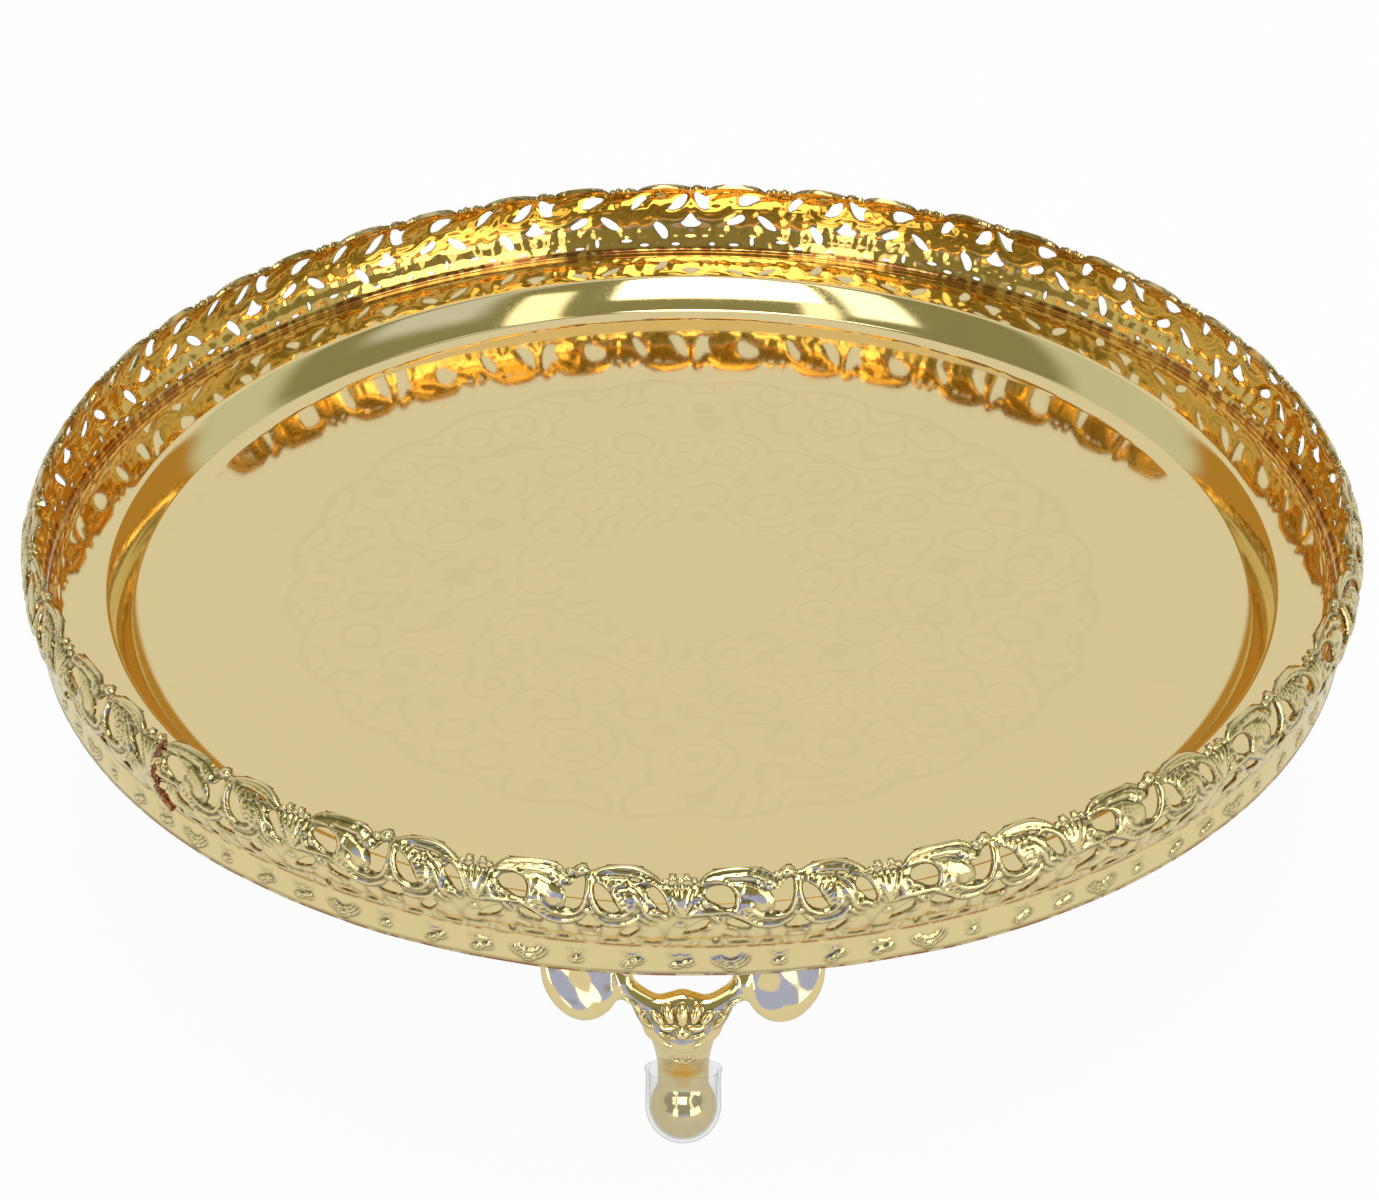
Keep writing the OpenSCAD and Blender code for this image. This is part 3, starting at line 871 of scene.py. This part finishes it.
def feet(material):
    """One casting, meshed once and set at each foot's turn."""
    low, high = (-35, 137.0, 0), (35, 159.5, 62.2)
    field, palmette = foot_field()
    points, quads, normals = surface_net(field, low, high, 0.42)
    x, q, z = points.T
    around = sum(palmette(x + dx, z + dz) for dx, dz in ((0.6, 0), (-0.6, 0), (0, 0.6), (0, -0.6))) / 4
    # grime and painted shade in the recesses of the palmette on the leg's front
    hollow_grime_and_shade = np.clip((around - palmette(x, z)) / 0.25, 0, 1) * (q > TOE_R + 2)
    # a deeper orange band where the leg goes into its cap: a painted reflection of gold mirrored in
    # gold, carried by the same mark as the gallery's back sheet
    painted_amber_reflection = np.clip(1.5 - np.abs(z - 22) / 1.2, 0, 1)
    for name, degrees in FOOT_TURNS.items():
        piece = make_object(f"cast_foot_{name}", turned(points, degrees), [quads[:, ::-1]], material,
                            "stand", replaces=[f"foot_{name}"])
        piece.data.normals_split_custom_set_from_vertices(turned(normals, degrees).tolist())
        point_attribute(piece, "hollow_grime_and_shade", hollow_grime_and_shade)
        point_attribute(piece, "inside", 0.7 * painted_amber_reflection)


# ================= clear caps =================
CAP_SLANT = 0.34
CAP_GAP = 0.3
CAP_WALL = 0.8


def caps(material):
    """Thin clear cups with a soft, slightly uneven lip that stands higher at the front."""
    outer_r = BALL_R + CAP_GAP + CAP_WALL
    inner_r = outer_r - CAP_WALL
    cup = arc((0, BALL_Z), outer_r, -72, 0, 22)
    profile = np.vstack([[(0.02, 0.0), (1.3, 0.0)], cup, [(outer_r - 0.05, 12), (outer_r - 0.1, 15.5),
                         (outer_r - 0.15, 17.4), (outer_r - 0.05, 18.6), (outer_r + 0.05, 19.1),
                         (outer_r - 0.1, 19.35), (inner_r + 0.15, 19.1), (inner_r + 0.05, 18.2),
                         (inner_r, 15.5), (inner_r, 12)], arc((0, BALL_Z), inner_r, 0, -86, 20),
                         [(0.02, BALL_Z - inner_r)]])
    segments = 96
    points, quads = lathe(profile, segments, closed=True)
    bearing = np.arctan2(points[:, 1], points[:, 0])
    high = smoothstep((points[:, 2] - 14) / 5)
    ears = smoothstep((points[:, 2] - 16.5) / 2.5) * np.abs(np.cos(bearing)) ** 8
    radius_scale = 1 + high * 0.006 * np.cos(5 * bearing + 1) + 0.012 * ears
    outward = points[:, 1]
    slant = CAP_SLANT * outward * (1 + 0.08 * np.maximum(outward, 0))
    points[:, 2] += high * (slant + 0.12 * np.cos(7 * bearing + 2) - 0.7) + 0.5 * ears
    points[:, :2] *= radius_scale[:, None]
    points[:, 1] += TOE_R
    for name, degrees in FOOT_TURNS.items():
        make_object(f"clear_cap_{name}", turned(points, degrees), [quads[:, ::-1]], material,
                    f"{name}_cap", replaces=[f"foot_{name}_cap"])


# ================= the seam's solder bead =================
def seam_bead(material):
    """A lumpy run of solder up the strip's joint, drawn in s, t and height, then bent onto the strip."""
    rng = np.random.default_rng(7)
    seam_s = SEAM_DEG / 360 * REPEATS * PERIOD
    t = np.arange(0.8, 22.6, 0.62)
    blobs = np.stack([0.3 * np.sin(1.3 * t) + rng.normal(0, 0.3, len(t)),
                      t, 0.45 + rng.normal(0, 0.15, len(t)), rng.uniform(0.3, 0.72, len(t))], 1)

    def field(s, up, lift):
        best = np.full(np.shape(s), 9.0)
        for bs, bt, bh, br in blobs:
            best = smooth_min(best, np.sqrt((s - bs) ** 2 + (up - bt) ** 2 + (lift - bh) ** 2) - br, 0.3)
        return best

    points, quads, _ = surface_net(field, (-2, -0.6, -1.2), (2, 24.2, 2.2), 0.16)
    r, z = strip_base(points[:, 1])
    nr, nz = strip_normal(points[:, 1])
    lift = np.minimum(points[:, 2], RELIEF + 0.02)
    placed = on_ring(seam_s + points[:, 0], r + lift * nr, z + lift * nz)
    make_object("seam_solder_bead", placed, [quads], material, "stand",
                replaces=["gallery_seam"])


# ================= materials =================
class Nodes:
    """Short forms for building a node tree."""

    def __init__(self, tree):
        self.tree = tree
        tree.nodes.clear()

    def add(self, kind, inputs=None, **settings):
        node = self.tree.nodes.new(kind)
        for name, value in settings.items():
            setattr(node, name, value)
        for name, value in (inputs or {}).items():
            self.feed(node.inputs[name], value)
        return node

    def feed(self, socket, value):
        """Links a socket to another node's output, or sets it to a constant."""
        if isinstance(value, bpy.types.NodeSocket):
            self.tree.links.new(value, socket)
        else:
            socket.default_value = value

    def place(self):
        """The point on the piece, in metres."""
        return self.add("ShaderNodeTexCoord").outputs["Object"]

    def math(self, operation, a, b=None):
        node = self.add("ShaderNodeMath", operation=operation)
        for socket, value in zip(node.inputs, (a, b)):
            if value is not None:
                self.feed(socket, value)
        return node.outputs[0]

    def times(self, a, b):
        return self.math("MULTIPLY", a, b)

    def ramp(self, factor, stops):
        node = self.add("ShaderNodeValToRGB", {"Fac": factor})
        ramp = node.color_ramp
        while len(ramp.elements) < len(stops):
            ramp.elements.new(0.5)
        for element, (place, colour) in zip(ramp.elements, stops):
            element.position = place
            element.color = (*colour, 1)
        return node.outputs["Color"]

    def span(self, value, low, high, to_low=0.0, to_high=1.0):
        """An eased step from to_low to to_high as value goes from low to high."""
        node = self.add("ShaderNodeMapRange", {"Value": value, "From Min": low, "From Max": high,
                                               "To Min": to_low, "To Max": to_high})
        node.interpolation_type = "SMOOTHSTEP"
        return node.outputs["Result"]

    def blend(self, below, above, share):
        """One colour over another."""
        mix = self.add("ShaderNodeMix", {"Factor": share}, data_type="RGBA")
        for socket, colour in ((mix.inputs["A"], below), (mix.inputs["B"], above)):
            self.feed(socket, (*colour, 1) if isinstance(colour, tuple) else colour)
        return mix.outputs["Result"]

    def noise(self, vector, scale, detail=3.0, rough=0.5):
        return self.add("ShaderNodeTexNoise", {"Vector": vector, "Scale": scale, "Detail": detail,
                                               "Roughness": rough}).outputs["Fac"]

    def coat(self, shader, colour, roughness, bump, strength, distance):
        """Feeds a shader its colour, roughness and a fine bump, whose depth is in metres."""
        self.feed(shader.inputs["Base Color"], colour)
        self.feed(shader.inputs["Roughness"], roughness)
        bumped = self.add("ShaderNodeBump", {"Height": bump, "Strength": strength,
                                             "Distance": distance})
        self.feed(shader.inputs["Normal"], bumped.outputs["Normal"])


GOLD = (0.975, 0.755, 0.355)
# a deeper orange gold: a painted reflection of gold mirrored in gold
GOLD_PAINTED_REFLECTION = (0.92, 0.56, 0.13)
# grime and painted shade in the recesses
GRIME_AND_PAINTED_SHADE = (0.14, 0.115, 0.05)
# red-brown stain, which along the creases is also painted shade
STAIN_AND_CREASE_SHADE = (0.34, 0.11, 0.03)
POLISH = 0.05  # roughness of the brightest plate
WEAR = 0.06  # what hairline wear adds to it


def new_material(name):
    material = bpy.data.materials.new(name)
    material.use_nodes = True
    n = Nodes(material.node_tree)
    out = n.add("ShaderNodeOutputMaterial")
    shader = n.add("ShaderNodeBsdfPrincipled")
    n.tree.links.new(shader.outputs["BSDF"], out.inputs["Surface"])
    return material, n, shader


def gilt(name, wave=0.00002, wave_scale=90.0, worn=False, etched=False):
    """Bright gold plate: faint colour clouds, hairline wear and a slight wave.

    worn adds grime with painted shade in the recesses, a deeper orange gold that paints gold mirrored in
    gold, and red-brown stains with painted shade along the creases, as the piece's attributes mark.
    etched adds the tray's scrollwork.
    """
    material, n, shader = new_material(name)
    place = n.place()
    clouds = n.noise(place, 60.0)
    colour = n.ramp(clouds, ((0.3, GOLD), (0.75, tuple(0.97 * c for c in GOLD))))
    if worn:
        blotch = n.span(n.noise(place, 330.0, 4.0), 0.38, 0.56)
        # the three marks: a painted reflection of gold in gold, grime with painted shade in the
        # recesses, and red-brown stain with painted shade along the creases
        for mark, share, tint in (("inside", 0.85, GOLD_PAINTED_REFLECTION), ("hollow_grime_and_shade", 0.85, GRIME_AND_PAINTED_SHADE),
                                  ("stain", blotch, STAIN_AND_CREASE_SHADE)):
            value = n.add("ShaderNodeAttribute", attribute_name=mark).outputs["Fac"]
            colour = n.blend(colour, tint, n.times(value, share))
    roughness = n.span(n.noise(place, 1400.0, 2.0), 0.35, 0.8, POLISH, POLISH + WEAR)
    if etched:
        etch = scrollwork(n, place)
        colour = n.blend(colour, tuple(0.8 * c for c in GOLD), n.times(etch, 0.16))
        roughness = n.math("ADD", roughness, n.times(etch, 0.07))
    n.coat(shader, colour, roughness, n.noise(place, wave_scale, 2.0), 1.0, wave)
    shader.inputs["Metallic"].default_value = 1.0
    return material


def scrollwork(n, place):
    """Faint etched curls in a ring round the tray's plain middle, with a scalloped border.

    The pattern is worked out from the bearing and radius alone, so the underside shows it too.
    """
    x, y, _ = n.add("ShaderNodeSeparateXYZ", {"Vector": place}).outputs
    radius = n.math("SQRT", n.math("ADD", n.times(x, x), n.times(y, y)))
    turn = n.math("ARCTAN2", y, x)
    half_scallops = 12
    scallop = n.times(n.math("ABSOLUTE", n.math("SINE", n.times(turn, half_scallops))), 0.003)
    edge = n.math("SUBTRACT", radius, scallop)
    ring = n.times(n.span(radius, 0.0255, 0.0265), n.span(edge, 0.0975, 0.0985, 1, 0))
    warp = n.add("ShaderNodeTexNoise", {"Vector": place, "Scale": 45.0, "Detail": 2.0})
    cells = n.add("ShaderNodeTexVoronoi", {"Vector": place, "Scale": 70.0}).outputs["Distance"]
    wobble = n.times(warp.outputs["Fac"], 9.0)
    curls = n.math("SINE", n.math("ADD", n.times(cells, 22.0), wobble))
    lines = n.span(curls, 0.45, 0.8)
    border = n.times(n.span(edge, 0.0955, 0.096), n.span(edge, 0.0975, 0.098, 1, 0))
    return n.math("MAXIMUM", n.times(lines, ring), border)


def solder_metal(name):
    """Dull, heat-stained solder: red-brown flux stains over grey-gold metal."""
    material, n, shader = new_material(name)
    place = n.place()
    stain = n.noise(place, 420.0, 4.0, 0.6)
    colour = n.ramp(stain, ((0.32, (0.12, 0.035, 0.015)), (0.5, (0.33, 0.12, 0.05)),
                            (0.72, (0.78, 0.52, 0.24))))
    roughness = n.span(stain, 0.3, 0.7, 0.45, 0.22)
    n.coat(shader, colour, roughness, n.noise(place, 1500.0), 0.5, 0.0001)
    shader.inputs["Metallic"].default_value = 0.85
    return material


def clear_plastic(name):
    """Thin moulded vinyl: nearly clear where it is seen square on, milky towards its edges."""
    material, n, shader = new_material(name)
    place = n.place()
    haze = n.noise(place, 300.0, 3.0)
    edge = n.add("ShaderNodeLayerWeight", {"Blend": 0.35}).outputs["Facing"]
    cover = n.math("ADD", n.times(haze, 0.12), n.span(edge, 0.5, 1.0, 0.05, 0.8))
    n.feed(shader.inputs["Alpha"], cover)
    colour = n.ramp(haze, ((0.3, (0.66, 0.68, 0.68)), (0.8, (0.5, 0.52, 0.5))))
    roughness = n.span(haze, 0.35, 0.75, 0.06, 0.2)
    n.coat(shader, colour, roughness, n.noise(place, 120.0), 0.6, 0.0002)
    shader.inputs["IOR"].default_value = 1.5
    return material


# ================= light, floor and camera =================
BACKDROP = (0.70, 0.745, 0.80)
PALE_WALL = (0.60, 0.66, 0.64)
PALE_CORNER = (0.56, 0.64, 0.66)
TALL_WINDOW = (2.4, 2.5, 2.4)
TALL_WINDOW_TOP = (1.5, 1.55, 1.45)
# what the gold mirrors, each over the ones before it: name, colour, then its left and right bearing
# and its low and high rise in degrees, and how soft its edge is; bearing 0 is the camera's side
ROOM = (
    ("warm band all round", (0.42, 0.25, 0.055), (-230, 230, 3, 25, 3)),
    ("dim wall on the camera's side", (0.25, 0.265, 0.175), (-110, 115, -60, 80, 7)),
    ("pale wall, left", PALE_WALL, (-118, -58, -60, 17, 4)),
    ("pale wall, right", PALE_WALL, (66, 118, -60, 17, 4)),
    ("pale corner, left", PALE_CORNER, (-118, -84, 10, 56, 5)),
    ("pale corner, right", PALE_CORNER, (96, 118, 10, 56, 5)),
    ("bluish foreground", (0.40, 0.52, 1.3), (-50, 50, -60, 6, 3)),
    ("skylight", (3.2, 3.4, 3.6), (-30, 19, 42, 90, 1.5)),
    ("high window, left", (1.7, 1.85, 2.0), (-50, -35, 34, 72, 2)),
    ("high haze, right", (0.59, 0.68, 0.86), (50, 78, 38, 74, 5)),
    ("tall window, left", TALL_WINDOW, (-34, -18, -16, 23, 2)),
    ("tall window, right", TALL_WINDOW, (25, 62, -16, 21, 2)),
    ("tall window's dimmer top, left", TALL_WINDOW_TOP, (-32, -24, 20, 42, 1.5)),
    ("tall window's dimmer top, right", TALL_WINDOW_TOP, (30, 42, 20, 52, 1.5)),
)


def studio_world():
    """The room that the metal mirrors. The camera itself sees plain white behind the stand."""
    world = bpy.data.worlds.new("studio")
    bpy.context.scene.world = world
    world.use_nodes = True
    n = Nodes(world.node_tree)
    ray = n.add("ShaderNodeSeparateXYZ", {"Vector": n.add("ShaderNodeTexCoord").outputs["Generated"]})
    x, y, z = ray.outputs
    rise = n.times(n.math("ARCSINE", z), 180 / math.pi)
    bearing = n.times(n.math("ARCTAN2", x, n.times(y, -1)), 180 / math.pi)

    def between(value, low, high, soft):
        return n.times(n.span(value, low - soft, low + soft),
                       n.span(value, high - soft, high + soft, 1, 0))

    room = BACKDROP
    for _, colour, (left, right, low, high, soft) in ROOM:
        share = n.times(between(bearing, left, right, soft), between(rise, low, high, soft))
        room = n.blend(room, colour, share)
    lit = n.add("ShaderNodeBackground", {"Color": room, "Strength": 1.0})
    plain = n.add("ShaderNodeBackground", {"Color": (1, 1, 1, 1), "Strength": 1.0})
    camera_ray = n.add("ShaderNodeLightPath").outputs["Is Camera Ray"]
    mix = n.add("ShaderNodeMixShader", {"Fac": camera_ray, 1: lit.outputs[0], 2: plain.outputs[0]})
    out = n.add("ShaderNodeOutputWorld")
    n.feed(out.inputs["Surface"], mix.outputs[0])


def studio_floor():
    """A sheet of pale paper. The camera sees it a little brighter than the metal does."""
    material, n, shader = new_material("paper_floor")
    fibre = n.noise(n.place(), 260.0)
    grey = n.ramp(fibre, ((0.2, (0.60, 0.60, 0.60)), (0.8, (0.615, 0.615, 0.615))))
    n.feed(shader.inputs["Base Color"], grey)
    shader.inputs["Roughness"].default_value = 0.9
    path = n.add("ShaderNodeLightPath").outputs
    surface = shader.outputs["BSDF"]
    for ray, share, light in (("Is Glossy Ray", 0.8, (0.70, 0.75, 0.80)),
                              ("Is Camera Ray", 0.96, (1, 1, 1))):
        glow = n.add("ShaderNodeEmission", {"Color": (*light, 1), "Strength": 1.0})
        mix = n.add("ShaderNodeMixShader", {"Fac": n.times(path[ray], share),
                                            1: surface, 2: glow.outputs[0]})
        surface = mix.outputs[0]
    n.feed(n.tree.nodes["Material Output"].inputs["Surface"], surface)
    side, front, back = 1200, -420, 1500
    corners = [(-side, front, 0), (side, front, 0), (side, back, 0), (-side, back, 0)]
    mesh = bpy.data.meshes.new("studio_floor")
    mesh.from_pydata([tuple(c * MM for c in p) for p in corners], [], [(0, 1, 2, 3)])
    mesh.materials.append(material)
    floor = bpy.data.objects.new("studio_floor", mesh)
    bpy.context.scene.collection.objects.link(floor)


def area_light(name, place, size, energy):
    """A soft light aimed at the tray, which the metal doesn't mirror."""
    data = bpy.data.lights.new(name, "AREA")
    data.shape = "RECTANGLE"
    data.size, data.size_y = size
    data.energy = energy
    light = bpy.data.objects.new(name, data)
    light.location = place
    aim = Vector((0, 0, DECK_Z * MM)) - light.location
    light.rotation_mode = "QUATERNION"
    light.rotation_quaternion = aim.to_track_quat("-Z", "Y")
    light.visible_glossy = False
    bpy.context.scene.collection.objects.link(light)


def direction(bearing, rise):
    """Unit vector out from the stand, at a bearing from the front and a rise above level."""
    return Vector((math.sin(bearing) * math.cos(rise), -math.cos(bearing) * math.cos(rise),
                   math.sin(rise)))


def camera():
    """The photograph's viewpoint: 32 degrees above the tray, a long lens, aimed a little low."""
    data = bpy.data.cameras.new("camera")
    data.sensor_width = 36.0
    data.lens = 100.45
    eye = bpy.data.objects.new("camera", data)
    bearing, rise, distance = math.radians(0.75), math.radians(32.07), 0.945
    centre = Vector((0, 0, DECK_Z * MM))
    eye.location = centre + direction(bearing, rise) * distance
    low_aim, side_aim = math.radians(0.746), math.radians(0.046)
    look = -direction(bearing + side_aim, rise + low_aim)
    eye.rotation_mode = "QUATERNION"
    eye.rotation_quaternion = look.to_track_quat("-Z", "Y")
    bpy.context.scene.collection.objects.link(eye)
    bpy.context.scene.camera = eye


bpy.context.scene.view_settings.view_transform = "Standard"
studio_world()
studio_floor()
camera()
area_light("overhead", (0.1, 0.25, 1.5), (1.2, 1.0), 16)

tray_gold = gilt("tray_gold", wave=0.00001, wave_scale=14.0, etched=True)
gallery_gold = gilt("gallery_gold", worn=True)
cast_gold = gilt("cast_gold", worn=True)
solder = solder_metal("solder")
tray_dish(tray_gold)
gallery_strip(gallery_gold)
feet(cast_gold)
caps(clear_plastic("clear_plastic"))
seam_bead(solder)
for name in ("rim_solder", *(f"foot_{place}_solder" for place in FOOT_TURNS)):
    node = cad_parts[name]
    node.data.materials.clear()
    node.data.materials.append(solder)
